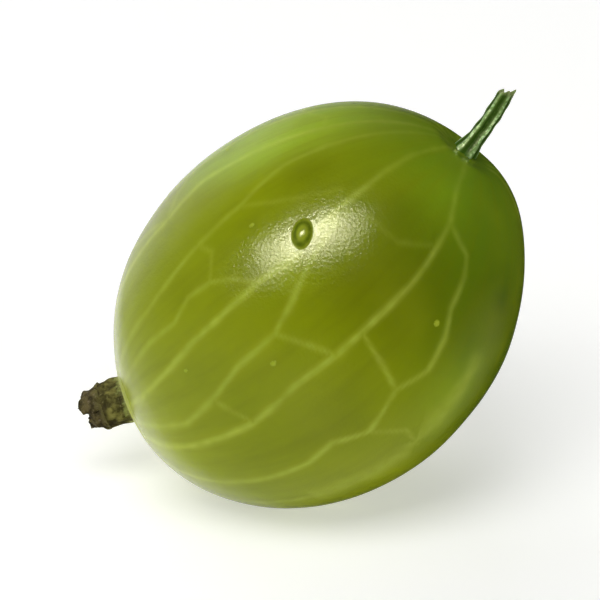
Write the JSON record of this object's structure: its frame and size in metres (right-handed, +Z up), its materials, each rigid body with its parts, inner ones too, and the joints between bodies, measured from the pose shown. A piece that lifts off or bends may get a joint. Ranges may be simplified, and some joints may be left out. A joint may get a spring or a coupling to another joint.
{
  "type": "gooseberry",
  "caption": "Ripe green gooseberry with a ribbed stalk stub at one end and a withered flower at the other, leaning on a small flat resting spot.",
  "frame": {"origin": "centre of the flat resting spot on the fruit's underside", "axes": "+Z up from the resting spot, +X towards the side where the long axis rises to the stalk, -X towards the withered flower"},
  "size_m": [0.022, 0.0183, 0.0208],
  "materials": {
    "berry_skin": "glossy translucent green fruit skin with paler veins",
    "green_stalk": "dark green ribbed stalk, slightly shiny on its ribs",
    "withered_cup": "dry olive-brown flower cup, dull and lumpy",
    "withered_sepal": "dry dark brown sepal with paler greyish flecks, dull",
    "dry_style": "pale dry fibres, dull"
  },
  "bodies": {
    "root": {"berry": "berry_skin", "stem": "green_stalk", "calyx_tube": "withered_cup", "sepal_1": "withered_sepal", "sepal_2": "withered_sepal", "sepal_3": "withered_sepal", "sepal_4": "withered_sepal", "sepal_5": "withered_sepal", "dried_style": "dry_style"}
  },
  "joints": []
}
